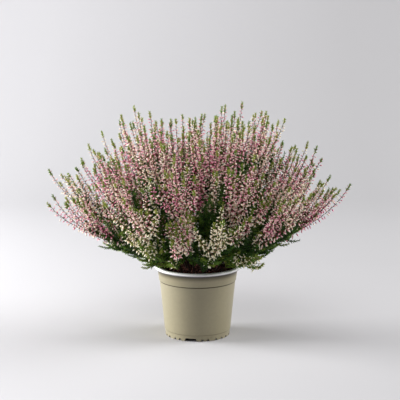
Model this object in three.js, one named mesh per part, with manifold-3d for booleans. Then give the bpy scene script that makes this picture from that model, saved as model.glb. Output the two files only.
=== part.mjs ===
// A potted heather, Calluna vulgaris with closed pink buds: a tapered nursery pot, the peat soil that
// fills it, and 28 woody stems that fan out of the soil. Each stem is leafy low down and carries, above
// its leaves, a spray of four spikes covered in buds.
// Units are millimetres and +Z is up. The origin lies on the pot's axis, on the surface it stands on.

import * as THREE from "three";
import { mergeVertices } from "three/addons/utils/BufferGeometryUtils.js";
import Module from "manifold-3d";

const wasm = await Module();
wasm.setup();

// ---- driving dimensions ----

const POT_HEIGHT = 99;
const RIM_RADIUS = 60; // outside of the rolled lip
const LIP_HEIGHT = 4.5;
const COLLAR_TOP_RADIUS = 56.2; // the plain band under the lip
const COLLAR_FOOT_RADIUS = 54.1;
const COLLAR_FOOT_Z = 79;
const BODY_TOP_RADIUS = 53.1; // the wall steps in under the collar
const BODY_TOP_Z = 78.2;
const BODY_FOOT_RADIUS = 46.3;
const BODY_FOOT_Z = 8.9;
const FOOT_HEIGHT = 8.2; // the foot ring steps in once more
const FOOT_TOP_RADIUS = 45.6;
const FOOT_BASE_RADIUS = 45;
const WALL = 1.3;
const EDGE = 1.2; // rounding of the lip
const FLOOR_UNDER_Z = 4.8; // the floor stands clear of the surface on its foot ring
const FLOOR_TOP_Z = 6.4;
const POT_SIDES = 36;

const NOTCH_GROUPS = 3; // one wide drain notch in each, between small ones
const FIRST_NOTCH_DEG = -102.3;
const WIDE_NOTCH = { foot: 18, top: 14.6, high: 4.3 };
const SMALL_NOTCH = { foot: 3, top: 2.4, high: 2.2, placesDeg: [21, 31, 47, 60, 73, 89, 99] };
const NOTCH_DEPTH = { inner: FOOT_BASE_RADIUS - 5, outer: FOOT_TOP_RADIUS + 2, low: -1 };
const DRAIN_SLOT = { inner: 27, outer: 38, foot: 9, top: 9, low: FLOOR_UNDER_Z - 1, high: FLOOR_TOP_Z + 1 };

// The pot's inner wall, and so the soil's side, from the floor up.
const INNER_WALL = [
  [BODY_FOOT_RADIUS - WALL, FLOOR_TOP_Z],
  [BODY_TOP_RADIUS - WALL, BODY_TOP_Z],
  [COLLAR_FOOT_RADIUS - WALL, COLLAR_FOOT_Z],
  [COLLAR_TOP_RADIUS - WALL, POT_HEIGHT],
];

const CLEAR = 0.4; // between pieces that touch
const SOIL_TOP_Z = 90;
const SOIL_EDGE_Z = 88.5; // where the soil meets the wall
const SOIL_RINGS = [45, 30, 15]; // radii of the rings of crumbs on its surface
const CRUMB = 1.3; // how far a crumb rises or dips
const SOIL_SEED = 500;
const ROOT_DEPTH = 10; // each stem stands this deep in its hole
const HOLE_RADIUS = 2.1;
const HOLE_LENGTH = 24;
const HOLE_SIDES = 5;
const HOLE_END = 0.06; // of the stem's length: the straight hole aims at this point of it
const STEM_RADIUS = 1.3;

// Stems in tiers from the crown's middle to its skirt. Angles are in degrees above the horizontal: the stem
// leaves the soil at startRise, its tip lies at tipRise seen from the crown, and there it points to endRise.
// leaves is the part of its length that is leafy, below the buds. sides are the directions in which side
// spikes leave the middle one, 90 being its upper side.
const TIERS = [
  {
    count: 2, turn: 20, root: 5, startRise: 86, tipRise: 83, endRise: 88, reach: 228,
    leaves: 0.54, sides: [30, 150, 270], budColor: 0xc98fa0,
  },
  {
    count: 6, turn: -75, root: 12, startRise: 74, tipRise: 66, endRise: 82, reach: 238,
    leaves: 0.5, sides: [0, 110, 230], budColor: 0xcb93a4,
  },
  {
    count: 10, turn: -99, root: 20, startRise: 60, tipRise: 48, endRise: 74, reach: 248,
    leaves: 0.45, sides: [90, 200, 340], budColor: 0xd09aa6,
  },
  {
    count: 10, turn: -81, root: 28, startRise: 47, tipRise: 32, endRise: 62, reach: 244,
    leaves: 0.42, sides: [90, 170, 10], budColor: 0xdcb9ae,
  },
];
const TURN_SCATTER = 7; // degrees, across which a stem's tip wanders round the plant
const RISE_SCATTER = 5; // degrees
const REACH_SCATTER = 0.1; // of the reach
const SHORT_STEMS = { 19: 0.82, 23: 0.94, 24: 0.82 }; // low at the front and the back: shares of the reach
const HANDLE = 0.35; // of the reach: how long a stem keeps its first and last directions

const SIDE_SPREAD = 34; // how far a side spike's tip stands from the middle spike's
const SIDE_SCATTER = 40; // degrees

// ---- small helpers ----

const radians = THREE.MathUtils.degToRad;
const lerp = THREE.MathUtils.lerp;

// A seeded draw from 0 to 1 for each whole number k.
function draw(k) {
  const wave = Math.sin(k * 12.9898 + 53.88) * 43758.5453;
  return wave - Math.floor(wave);
}

const scatter = (k, width) => (draw(k) - 0.5) * width;

// The value at t of a line through [place, value] points.
function along(points, t) {
  const next = points.findIndex(([place]) => place >= t);
  if (next === 0) return points[0][1];
  if (next < 0) return points.at(-1)[1];
  const [[from, low], [to, high]] = [points[next - 1], points[next]];
  return lerp(low, high, (t - from) / (to - from));
}

function solidOf(geometry) {
  const bare = geometry.index ? geometry : geometry.clone();
  bare.deleteAttribute("normal");
  bare.deleteAttribute("uv");
  const merged = mergeVertices(bare, 1e-4);
  return new wasm.Manifold(
    new wasm.Mesh({
      numProp: 3,
      vertProperties: new Float32Array(merged.attributes.position.array),
      triVerts: new Uint32Array(merged.index.array),
    }),
  );
}

function geometryOf(solid) {
  const made = solid.getMesh();
  return new THREE.BufferGeometry()
    .setAttribute("position", new THREE.BufferAttribute(made.vertProperties, 3))
    .setIndex(new THREE.BufferAttribute(made.triVerts, 1));
}

function turned(profile) {
  const points = profile.map(([radius, z]) => new THREE.Vector2(radius, z));
  return new THREE.LatheGeometry(points, POT_SIDES).rotateX(Math.PI / 2);
}

function named(name, geometry, material) {
  const mesh = new THREE.Mesh(geometry, material);
  mesh.name = name;
  return mesh;
}

// ---- pot ----

// A block that lies across the wall at an angle round the pot, from radius inner to outer. Its foot and top
// widths differ.
function cutter({ angleDeg, inner, outer, foot, top, low, high }) {
  const outline = new THREE.Shape([
    new THREE.Vector2(-foot / 2, low),
    new THREE.Vector2(foot / 2, low),
    new THREE.Vector2(top / 2, high),
    new THREE.Vector2(-top / 2, high),
  ]);
  const block = new THREE.ExtrudeGeometry(outline, { depth: outer - inner, bevelEnabled: false })
    .translate(0, 0, inner)
    .rotateX(Math.PI / 2)
    .rotateZ(radians(angleDeg + 90));
  return solidOf(block);
}

function potGeometry() {
  const lipFoot = POT_HEIGHT - LIP_HEIGHT;
  let pot = solidOf(
    turned([
      [0, FLOOR_UNDER_Z],
      [FOOT_BASE_RADIUS - WALL, FLOOR_UNDER_Z],
      [FOOT_BASE_RADIUS - WALL, 0],
      [FOOT_BASE_RADIUS, 0],
      [FOOT_TOP_RADIUS, FOOT_HEIGHT],
      [BODY_FOOT_RADIUS, BODY_FOOT_Z],
      [BODY_TOP_RADIUS, BODY_TOP_Z],
      [COLLAR_FOOT_RADIUS, COLLAR_FOOT_Z],
      [COLLAR_TOP_RADIUS, lipFoot],
      [RIM_RADIUS - EDGE, lipFoot],
      [RIM_RADIUS, lipFoot + EDGE],
      [RIM_RADIUS, POT_HEIGHT - EDGE],
      [RIM_RADIUS - EDGE, POT_HEIGHT],
      ...INNER_WALL.toReversed(),
      [0, FLOOR_TOP_Z],
    ]),
  );
  for (let group = 0; group < NOTCH_GROUPS; group += 1) {
    const angleDeg = FIRST_NOTCH_DEG + (group * 360) / NOTCH_GROUPS;
    pot = pot.subtract(cutter({ ...DRAIN_SLOT, angleDeg }));
    pot = pot.subtract(cutter({ ...NOTCH_DEPTH, ...WIDE_NOTCH, angleDeg }));
    for (const place of SMALL_NOTCH.placesDeg) {
      pot = pot.subtract(cutter({ ...NOTCH_DEPTH, ...SMALL_NOTCH, angleDeg: angleDeg + place }));
    }
  }
  return geometryOf(pot);
}

// ---- stems ----

// Every stem of the plant, with its own draws.
function listStems() {
  const stems = [];
  for (const tier of TIERS) {
    for (let n = 0; n < tier.count; n += 1) {
      const number = stems.length + 1;
      const seed = number * 10;
      const share = SHORT_STEMS[number] ?? 1;
      const rootTurn = tier.turn + (n * 360) / tier.count;
      stems.push({
        ...tier,
        seed,
        rootTurn,
        tipTurn: rootTurn + scatter(seed, TURN_SCATTER),
        tipRise: tier.tipRise + scatter(seed + 1, RISE_SCATTER),
        reach: tier.reach * share * (1 + scatter(seed + 2, REACH_SCATTER)),
      });
    }
  }
  return stems;
}

// A point or direction at turnDeg round the plant, from its distance out and its height.
function around(turnDeg, out, z) {
  const turn = radians(turnDeg);
  return new THREE.Vector3(out * Math.cos(turn), out * Math.sin(turn), z);
}

const heading = (turnDeg, riseDeg) =>
  around(turnDeg, Math.cos(radians(riseDeg)), Math.sin(radians(riseDeg)));

function spineOf(stem) {
  const crown = new THREE.Vector3(0, 0, SOIL_TOP_Z);
  const root = around(stem.rootTurn, stem.root, SOIL_TOP_Z - ROOT_DEPTH);
  const tip = crown.addScaledVector(heading(stem.tipTurn, stem.tipRise), stem.reach);
  const handle = HANDLE * stem.reach;
  return new THREE.CubicBezierCurve3(
    root,
    root.clone().addScaledVector(heading(stem.rootTurn, stem.startRise), handle),
    tip.clone().addScaledVector(heading(stem.tipTurn, stem.endRise), -handle),
    tip,
  );
}

// Two directions square to a stem at t, the first of them level.
function squareTo(spine, turnDeg, t) {
  const forward = spine.getTangent(t);
  const level = around(turnDeg + 90, 1, 0);
  level.addScaledVector(forward, -level.dot(forward)).normalize();
  return { forward, level, upper: forward.clone().cross(level) };
}

// ---- bumpy rods ----

const TWIST = 0.35; // radians

// A closed rod round the path point(s), s from 0 to 1, with a leaf or bud raised at every other corner.
// rings hold { s, core, raised, lean }: the rod's radius between the bumps, the bumps' radius, and how far
// a bump leans towards the tip. The corners of neighbouring rings take turns, so the bumps lie in a lattice.
// uneven is the share by which the bumps' radii differ, and the lattice winds round the rod by TWIST a ring.
function bumpyRod({ point, frame, rings, sides, seed, uneven }) {
  const corners = [];
  rings.forEach(({ s, core, raised, lean }, i) => {
    const middle = point(s);
    const { forward, level, upper } = frame(s);
    for (let j = 0; j < sides; j += 1) {
      const angle = (2 * Math.PI * j) / sides + TWIST * i + draw(seed);
      const bump = (i + j) % 2 === 0;
      const radius = bump ? raised * (1 + scatter(seed + corners.length + 1, uneven)) : core;
      corners.push(
        middle
          .clone()
          .addScaledVector(level, Math.cos(angle) * radius)
          .addScaledVector(upper, Math.sin(angle) * radius)
          .addScaledVector(forward, bump ? lean : 0),
      );
    }
  });
  const foot = corners.push(point(0)) - 1;
  const tip = corners.push(point(1)) - 1;
  const faces = [];
  for (let i = 0; i + 1 < rings.length; i += 1) {
    for (let j = 0; j < sides; j += 1) {
      const [a, b] = [i * sides + j, i * sides + ((j + 1) % sides)];
      const [c, d] = [b + sides, a + sides];
      // The fold joins the two low corners, so that each bump stands as a peak of its own.
      if ((i + j) % 2 === 0) faces.push(a, b, d, b, c, d);
      else faces.push(a, b, c, a, c, d);
    }
  }
  const last = (rings.length - 1) * sides;
  for (let j = 0; j < sides; j += 1) {
    const next = (j + 1) % sides;
    faces.push(foot, next, j, tip, last + j, last + next);
  }
  const geometry = new THREE.BufferGeometry().setFromPoints(corners);
  return solidOf(geometry.setIndex(faces));
}

// ---- leafy stems ----

const LEAFY_SIDES = 6;
const LEAFY_RINGS = 10;
const LEAFY_START = 28; // from the stem's root, where the leaves begin
const BARE_RINGS = [0.02, 0.1]; // places along the stem, below its leaves
// Radii along the leafy length, from 0 to 1: between the leaves and at their tips.
const LEAFY_CORE = [[0, 1.5], [0.3, 5], [0.6, 8], [0.8, 7], [1, 1.5]];
const LEAFY_RAISED = [[0, 3], [0.12, 5.5], [0.4, 13], [0.65, 18], [0.85, 15.5], [1, 3]];
const LEAF_LEAN = 6;
const LEAFY_UNEVEN = 0.4;

function leafyStem(spine, stem) {
  const end = stem.leaves - CLEAR / stem.reach;
  const start = LEAFY_START / stem.reach;
  const bare = BARE_RINGS.map((t) => ({ t, core: STEM_RADIUS, raised: STEM_RADIUS, lean: 0 }));
  const leafy = Array.from({ length: LEAFY_RINGS }, (_, i) => {
    const share = i / LEAFY_RINGS;
    return {
      t: lerp(start, end, share),
      core: along(LEAFY_CORE, share),
      raised: along(LEAFY_RAISED, share),
      lean: LEAF_LEAN * Math.min(1, 4 * (1 - share)),
    };
  });
  return bumpyRod({
    point: (s) => spine.getPoint(s * end),
    frame: (s) => squareTo(spine, stem.tipTurn, s * end),
    rings: [...bare, ...leafy].map((ring) => ({ ...ring, s: ring.t / end })),
    sides: LEAFY_SIDES,
    seed: stem.seed * 100,
    uneven: LEAFY_UNEVEN,
  });
}

// ---- flower sprays ----

const SPIKE_SIDES = 4; // buds stand in opposite pairs, each pair square to the next
const MAIN_RINGS = { count: 13, first: 0.02 };
const SIDE_RINGS = { count: 7, first: 0.18 };
const LAST_RING = 0.965;
const SPIKE_CORE = [[0, 1.5], [0.1, 3], [0.6, 2.6], [0.9, 1.3], [1, 0.9]];
const SPIKE_RAISED = [[0, 2], [0.08, 7.5], [0.25, 10], [0.55, 8.4], [0.8, 5.2], [0.9, 2.7], [1, 1.6]];
const BUD_LEAN = 3;
const BUDS_UNEVEN = 0.3;
const SIDE_STALK = { s: 0.04, core: 1.2, raised: 1.2, lean: 0 }; // bare, inside the middle spike

function spikeRings({ count, first }) {
  return Array.from({ length: count }, (_, i) => {
    const s = lerp(first, LAST_RING, i / (count - 1));
    return { s, core: along(SPIKE_CORE, s), raised: along(SPIKE_RAISED, s), lean: BUD_LEAN * (1 - 0.6 * s) };
  });
}

// The side spikes start on the middle one and spread round it, until they run beside it.
function listSideSpikes(stem) {
  return stem.sides.map((side, n) => {
    const seed = stem.seed * 7 + n * 3;
    return {
      from: stem.leaves + 0.05 + 0.07 * n + scatter(seed, 0.03),
      to: 0.93 - 0.02 * n + scatter(seed + 1, 0.08),
      side: radians(side + scatter(seed + 2, SIDE_SCATTER)),
    };
  });
}

function sidePath(spine, stem, spike) {
  const place = (s) => lerp(spike.from, spike.to, s);
  return (s) => {
    const { level, upper } = squareTo(spine, stem.tipTurn, place(s));
    const spread = SIDE_SPREAD * Math.sin((s * Math.PI) / 2);
    return spine
      .getPoint(place(s))
      .addScaledVector(level, spread * Math.cos(spike.side))
      .addScaledVector(upper, spread * Math.sin(spike.side));
  };
}

function flowerSpray(spine, stem) {
  const place = (s) => lerp(stem.leaves, 1, s);
  let spray = bumpyRod({
    point: (s) => spine.getPoint(place(s)),
    frame: (s) => squareTo(spine, stem.tipTurn, place(s)),
    rings: spikeRings(MAIN_RINGS),
    sides: SPIKE_SIDES,
    seed: stem.seed * 200,
    uneven: BUDS_UNEVEN,
  });
  listSideSpikes(stem).forEach((spike, n) => {
    const path = sidePath(spine, stem, spike);
    const curve = Object.assign(new THREE.Curve(), { getPoint: path });
    spray = spray.add(
      bumpyRod({
        point: path,
        frame: (s) => squareTo(curve, stem.tipTurn, s),
        rings: [SIDE_STALK, ...spikeRings(SIDE_RINGS)],
        sides: SPIKE_SIDES,
        seed: stem.seed * 300 + n * 100,
        uneven: BUDS_UNEVEN,
      }),
    );
  });
  return spray;
}

// ---- soil ----

function soilGeometry(spines) {
  const side = INNER_WALL.map(([radius, z]) => [z, radius - CLEAR]);
  const sideAt = (z) => [along(side, z), z];
  const floor = FLOOR_TOP_Z + CLEAR;
  const profile = [
    [0, floor],
    sideAt(floor),
    sideAt(BODY_TOP_Z),
    sideAt(COLLAR_FOOT_Z),
    sideAt(SOIL_EDGE_Z),
    ...SOIL_RINGS.map((radius) => [radius, SOIL_TOP_Z]),
    [0, SOIL_TOP_Z],
  ];
  const geometry = mergeVertices(turned(profile).deleteAttribute("uv").deleteAttribute("normal"), 1e-4);
  const places = geometry.attributes.position;
  for (let i = 0; i < places.count; i += 1) {
    if (places.getZ(i) > SOIL_EDGE_Z) places.setZ(i, SOIL_TOP_Z + scatter(SOIL_SEED + i, 2 * CRUMB));
  }
  let soil = solidOf(geometry);
  for (const spine of spines) {
    const foot = spine.getPoint(0);
    const up = spine.getPoint(HOLE_END).sub(foot).normalize();
    const hole = new THREE.CylinderGeometry(HOLE_RADIUS, HOLE_RADIUS, HOLE_LENGTH, HOLE_SIDES)
      .rotateX(Math.PI / 2)
      .applyQuaternion(new THREE.Quaternion().setFromUnitVectors(new THREE.Vector3(0, 0, 1), up))
      .translate(...foot.addScaledVector(up, HOLE_LENGTH / 2 - CLEAR));
    soil = soil.subtract(solidOf(hole));
  }
  return geometryOf(soil);
}

// ---- the whole plant ----

const potPlastic = new THREE.MeshStandardMaterial({ color: 0xa9a287, roughness: 0.55 });
const peat = new THREE.MeshStandardMaterial({ color: 0x2b1c17, roughness: 0.95 });
const foliage = new THREE.MeshStandardMaterial({ color: 0x355a2c, roughness: 0.7 });

const plant = new THREE.Group();
plant.name = "potted_heather";
const stems = listStems();
const spines = stems.map(spineOf);
plant.add(named("pot", potGeometry(), potPlastic), named("soil", soilGeometry(spines), peat));
stems.forEach((stem, k) => {
  const label = String(k + 1).padStart(2, "0");
  const buds = new THREE.MeshStandardMaterial({ color: stem.budColor, roughness: 0.6 });
  plant.add(
    named(`leafy_stem_${label}`, geometryOf(leafyStem(spines[k], stem)), foliage),
    named(`flower_spray_${label}`, geometryOf(flowerSpray(spines[k], stem)), buds),
  );
});

export default plant;
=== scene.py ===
# A potted bud heather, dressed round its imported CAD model: the pot with its rounded lip, the crumbly
# peat, and on each of the 28 stems a coat of leafy shoots and a spray of spikes with their buds,
# stalks and green tips. The stems and spikes repeat the CAD model's rule. Lengths are in millimetres
# and angles in degrees, unless a comment says otherwise. Camera, stage and lights are in metres.
import math

import bpy
import numpy as np
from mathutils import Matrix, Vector, noise


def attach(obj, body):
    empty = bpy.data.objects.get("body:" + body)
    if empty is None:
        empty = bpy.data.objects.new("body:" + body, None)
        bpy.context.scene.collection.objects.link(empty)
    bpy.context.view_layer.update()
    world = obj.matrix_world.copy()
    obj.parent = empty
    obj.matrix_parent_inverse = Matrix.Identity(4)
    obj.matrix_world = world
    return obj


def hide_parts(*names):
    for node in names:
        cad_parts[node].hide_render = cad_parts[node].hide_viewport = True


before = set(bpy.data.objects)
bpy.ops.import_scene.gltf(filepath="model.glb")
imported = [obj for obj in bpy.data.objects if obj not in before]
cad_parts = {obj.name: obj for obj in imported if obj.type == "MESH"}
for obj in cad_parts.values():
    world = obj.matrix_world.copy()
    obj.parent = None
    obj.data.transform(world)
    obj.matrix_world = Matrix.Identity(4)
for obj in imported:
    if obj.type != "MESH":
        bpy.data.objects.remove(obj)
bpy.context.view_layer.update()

MM = 0.001
BLACK = (0, 0, 0)
WHITE = (255, 255, 255)


def add_object(name, data):
    item = bpy.data.objects.new(name, data)
    bpy.context.scene.collection.objects.link(item)
    return item


# ---- camera ----

CAMERA_PLACE = Vector((0.0, -1.840, 0.5225))
CAMERA_AIM = Vector((0.0034, 0.0, 0.191))
LENS = 121.1
SENSOR = 36.0

camera = add_object("camera", bpy.data.cameras.new("camera"))
camera.data.lens = LENS
camera.data.sensor_width = SENSOR
camera.location = CAMERA_PLACE
camera.rotation_mode = "QUATERNION"
camera.rotation_quaternion = (CAMERA_AIM - CAMERA_PLACE).to_track_quat("-Z", "Y")
bpy.context.scene.camera = camera

# ---- the CAD model's rule for stems and spikes ----

SOIL_TOP_Z = 90
ROOT_DEPTH = 10
TIERS = [
    dict(count=2, turn=20, root=5, start_rise=86, tip_rise=83, end_rise=88, reach=228,
         leaves=0.54, sides=(30, 150, 270), tone=0.62),
    dict(count=6, turn=-75, root=12, start_rise=74, tip_rise=66, end_rise=82, reach=238,
         leaves=0.5, sides=(0, 110, 230), tone=0.64),
    dict(count=10, turn=-99, root=20, start_rise=60, tip_rise=48, end_rise=74, reach=248,
         leaves=0.45, sides=(90, 200, 340), tone=0.62),
    dict(count=10, turn=-81, root=28, start_rise=47, tip_rise=32, end_rise=62, reach=244,
         leaves=0.42, sides=(90, 170, 10), tone=0.36),
]
DRAW_STEP = 12.9898
DRAW_SEED = 53.88
DRAW_SPREAD = 43758.5453
SEEDS_PER_STEM = 10
SIDE_SEED_FACTOR = 7
SEEDS_PER_SIDE = 3
LOW_RISE = 38  # a stem whose tip rises less belongs to the lowest tier
TURN_SCATTER = 7
RISE_SCATTER = 5
REACH_SCATTER = 0.1
SHORT_STEMS = {19: 0.82, 23: 0.94, 24: 0.82}  # shares of their tier's reach
HANDLE = 0.35  # how far a curve's handles reach, as a share of its own reach
SIDE_START = 0.05  # where the first side spike leaves its stem, past the leaves
SIDE_START_STEP = 0.07
SIDE_START_SCATTER = 0.03
SIDE_END = 0.93
SIDE_END_STEP = 0.02
SIDE_END_SCATTER = 0.08
SIDE_SPREAD = 34
SIDE_SCATTER = 40
OWN_TONES = {9: 0.74, 10: 0.6, 17: 0.66, 18: 0.8, 19: 0.02, 20: 0.5, 21: 0.6, 27: 0.72, 28: 0.2}


def draw(k):
    """A seeded draw from 0 to 1 for each whole number k."""
    wave = math.sin(k * DRAW_STEP + DRAW_SEED) * DRAW_SPREAD
    return wave - math.floor(wave)


def scatter(k, width):
    return (draw(k) - 0.5) * width


def around(turn_deg, out, z):
    turn = math.radians(turn_deg)
    return np.array([out * math.cos(turn), out * math.sin(turn), z])


def heading(turn_deg, rise_deg):
    rise = math.radians(rise_deg)
    return around(turn_deg, math.cos(rise), math.sin(rise))


def unit(v):
    return v / np.linalg.norm(v, axis=-1, keepdims=True)


def list_stems():
    stems = []
    for tier in TIERS:
        for n in range(tier["count"]):
            number = len(stems) + 1
            seed = number * SEEDS_PER_STEM
            share = SHORT_STEMS.get(number, 1)
            root_turn = tier["turn"] + n * 360 / tier["count"]
            stems.append(
                dict(
                    tier,
                    seed=seed,
                    number=number,
                    tone=OWN_TONES.get(number, tier["tone"]),
                    root_turn=root_turn,
                    tip_turn=root_turn + scatter(seed, TURN_SCATTER),
                    tip_rise=tier["tip_rise"] + scatter(seed + 1, RISE_SCATTER),
                    reach=tier["reach"] * share * (1 + scatter(seed + 2, REACH_SCATTER)),
                )
            )
    return stems


def is_low(stem):
    return stem["tip_rise"] < LOW_RISE


class Path:
    """A curve in space given by a function of s from 0 to 1, with its own directions at each place."""

    STEP = 1e-3
    SAMPLES = 33

    def __init__(self, places, turn_deg):
        self.places = places
        self.side = around(turn_deg + 90, 1, 0)
        sample = places(np.linspace(0, 1, self.SAMPLES))
        self.length = float(np.linalg.norm(np.diff(sample, axis=0), axis=1).sum())

    def forward(self, s):
        ahead = np.minimum(s + self.STEP, 1)
        behind = np.maximum(s - self.STEP, 0)
        return unit(self.places(ahead) - self.places(behind))

    def square(self, s):
        """The path's direction and two more square to it, the first of them level."""
        forward = self.forward(s)
        level = unit(self.side - forward * (forward @ self.side)[:, None])
        return forward, level, np.cross(forward, level)

    def square_at(self, s):
        """The same at one place."""
        return [directions[0] for directions in self.square(np.array([s]))]


def bent(root, a, b, tip, turn_deg):
    """A path from its root to its tip, bent by the handles a and b."""

    def places(s):
        s = np.asarray(s, float)[:, None]
        u = 1 - s
        return u**3 * root + 3 * u**2 * s * a + 3 * u * s**2 * b + s**3 * tip

    return Path(places, turn_deg)


def spine_of(stem):
    root = around(stem["root_turn"], stem["root"], SOIL_TOP_Z - ROOT_DEPTH)
    tip = np.array([0, 0, SOIL_TOP_Z]) + heading(stem["tip_turn"], stem["tip_rise"]) * stem["reach"]
    handle = HANDLE * stem["reach"]
    a = root + heading(stem["root_turn"], stem["start_rise"]) * handle
    b = tip - heading(stem["tip_turn"], stem["end_rise"]) * handle
    return bent(root, a, b, tip, stem["tip_turn"])


def part_of(path, start, end, turn_deg):
    return Path(lambda s: path.places(start + (end - start) * np.asarray(s)), turn_deg)


def side_spike(spine, stem, n):
    seed = stem["seed"] * SIDE_SEED_FACTOR + n * SEEDS_PER_SIDE
    start = stem["leaves"] + SIDE_START + SIDE_START_STEP * n + scatter(seed, SIDE_START_SCATTER)
    end = SIDE_END - SIDE_END_STEP * n + scatter(seed + 1, SIDE_END_SCATTER)
    side = math.radians(stem["sides"][n] + scatter(seed + 2, SIDE_SCATTER))

    def places(s):
        s = np.asarray(s, float)
        t = start + (end - start) * s
        _, level, upper = spine.square(t)
        spread = (SIDE_SPREAD * np.sin(s * math.pi / 2))[:, None]
        return spine.places(t) + spread * (math.cos(side) * level + math.sin(side) * upper)

    return Path(places, stem["tip_turn"])


# ---- mesh building ----

UV_NAME = "OFBake"
TONE_WIDTH = 0.006  # how far to each side of its tone a leaf or bud spans the colour map
COPY_FOOT_V = 0.02  # where a leaf or bud starts on the colour map's height
COPY_SPAN_V = 0.96
TUBE_ENDS_V = (0.05, 0.95)
NEARLY_UPRIGHT = 0.9  # the Z part of a direction, from which X is its guide in place of Z


class Template:
    """A spindle along +Z from 0 to 1: rings of (height, radius) between a foot and a tip."""

    def __init__(self, rings, sides):
        turns = np.arange(sides) * 2 * math.pi / sides
        verts = [(0, 0, 0)]
        for z, radius in rings:
            verts += [(radius * math.cos(a), radius * math.sin(a), z) for a in turns]
        verts.append((0, 0, 1))
        faces = []
        for j in range(sides):
            k = (j + 1) % sides
            faces.append((0, 1 + k, 1 + j))
            for i in range(len(rings) - 1):
                a, b = 1 + i * sides + j, 1 + i * sides + k
                faces += [(a, b, b + sides), (a, b + sides, a + sides)]
            last = 1 + (len(rings) - 1) * sides
            faces.append((last + j, last + k, len(verts) - 1))
        self.verts = np.array(verts)
        self.faces = np.array(faces)
        self.across = np.concatenate([[0], np.tile(np.cos(turns), len(rings)), [0]])


class Scale:
    """A scale leaf along +Z from 0 to 1, with a three-sided foot."""

    verts = np.array([(1, 0, 0.1), (-0.5, 0.8, 0), (-0.5, -0.8, 0), (0, 0, 1)])
    faces = np.array([(0, 2, 1), (0, 1, 3), (1, 2, 3), (2, 0, 3)])
    across = np.array([1, -0.5, -0.5, 0])


BUD = Template([(0.3, 0.66), (0.62, 1.0)], 4)
CRUMB = Template([(0.15, 0.8), (0.6, 1.0)], 4)


def smooth(mesh):
    mesh.polygons.foreach_set("use_smooth", np.ones(len(mesh.polygons), bool))


class Batch:
    """Triangles gathered for one piece, with a place on the colour map for each vertex."""

    def __init__(self):
        self.verts, self.faces, self.uvs, self.count = [], [], [], 0

    def add(self, verts, faces, uvs):
        self.verts.append(verts)
        self.faces.append(faces + self.count)
        self.uvs.append(uvs)
        self.count += len(verts)

    def copies(self, template, feet, ways, lengths, widths, tones, rolls):
        """A copy of the template at each foot, pointing its way. Rolls are in radians."""
        ways = unit(ways)
        guide = np.where(np.abs(ways[:, 2:]) < NEARLY_UPRIGHT, [[0, 0, 1.0]], [[1.0, 0, 0]])
        x = unit(np.cross(guide, ways))
        y = np.cross(ways, x)
        cos, sin = np.cos(rolls)[:, None], np.sin(rolls)[:, None]
        x, y = (x * cos + y * sin) * widths[:, None], (y * cos - x * sin) * widths[:, None]
        z = ways * lengths[:, None]
        local = template.verts[None, :, :, None]
        verts = feet[:, None] + sum(local[:, :, i] * axis[:, None] for i, axis in enumerate((x, y, z)))
        n = len(template.verts)
        faces = template.faces[None] + (np.arange(len(feet)) * n)[:, None, None]
        u = tones[:, None] + TONE_WIDTH * template.across[None]
        v = np.broadcast_to(template.verts[:, 2], u.shape)
        uvs = np.stack([u, COPY_FOOT_V + COPY_SPAN_V * v], -1)
        self.add(verts.reshape(-1, 3), faces.reshape(-1, 3), uvs.reshape(-1, 2))

    def tube(self, path, s, radii, sides, tone):
        """A closed rod along the path."""
        centre = path.places(s)
        _, level, upper = path.square(s)
        turns = np.arange(sides) * 2 * math.pi / sides
        ring = level[:, None] * np.cos(turns)[:, None] + upper[:, None] * np.sin(turns)[:, None]
        verts = (centre[:, None] + ring * np.asarray(radii)[:, None, None]).reshape(-1, 3)
        verts = np.vstack([verts, centre[:1], centre[-1:]])
        rows = len(s)
        faces = []
        for j in range(sides):
            k = (j + 1) % sides
            for i in range(rows - 1):
                a, b = i * sides + j, i * sides + k
                faces += [(a, b, b + sides), (a, b + sides, a + sides)]
            faces.append((rows * sides, k, j))
            faces.append((rows * sides + 1, (rows - 1) * sides + j, (rows - 1) * sides + k))
        u = np.append(np.tile(tone + TONE_WIDTH * np.cos(turns), rows), [tone, tone])
        v = np.append(np.repeat(np.linspace(*TUBE_ENDS_V, rows), sides), TUBE_ENDS_V)
        self.add(verts, np.array(faces), np.stack([u, v], -1))

    def build(self, name, material, slot_name):
        mesh = bpy.data.meshes.new(name)
        verts = np.vstack(self.verts) * MM
        faces = np.vstack(self.faces)
        uvs = np.vstack(self.uvs)
        mesh.from_pydata(verts.tolist(), [], faces.tolist())
        layer = mesh.uv_layers.new(name=UV_NAME)
        layer.uv.foreach_set("vector", uvs[faces.ravel()].ravel())
        smooth(mesh)
        mesh.materials.append(material)
        piece = add_object(name, mesh)
        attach(piece, "root")
        return piece


# ---- materials, with their colours as sRGB numbers from 0 to 255 ----

MIX_INPUTS = (0, 6, 7)  # the sockets of a Mix node that mixes colours
MIX_OUTPUT = 2


def linear(rgb):
    """An sRGB colour as Blender's linear numbers, by the sRGB standard's formula."""
    shares = [c / 255 for c in rgb]
    return tuple(c / 12.92 if c <= 0.04 else ((c + 0.055) / 1.055) ** 2.4 for c in shares) + (1.0,)


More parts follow.
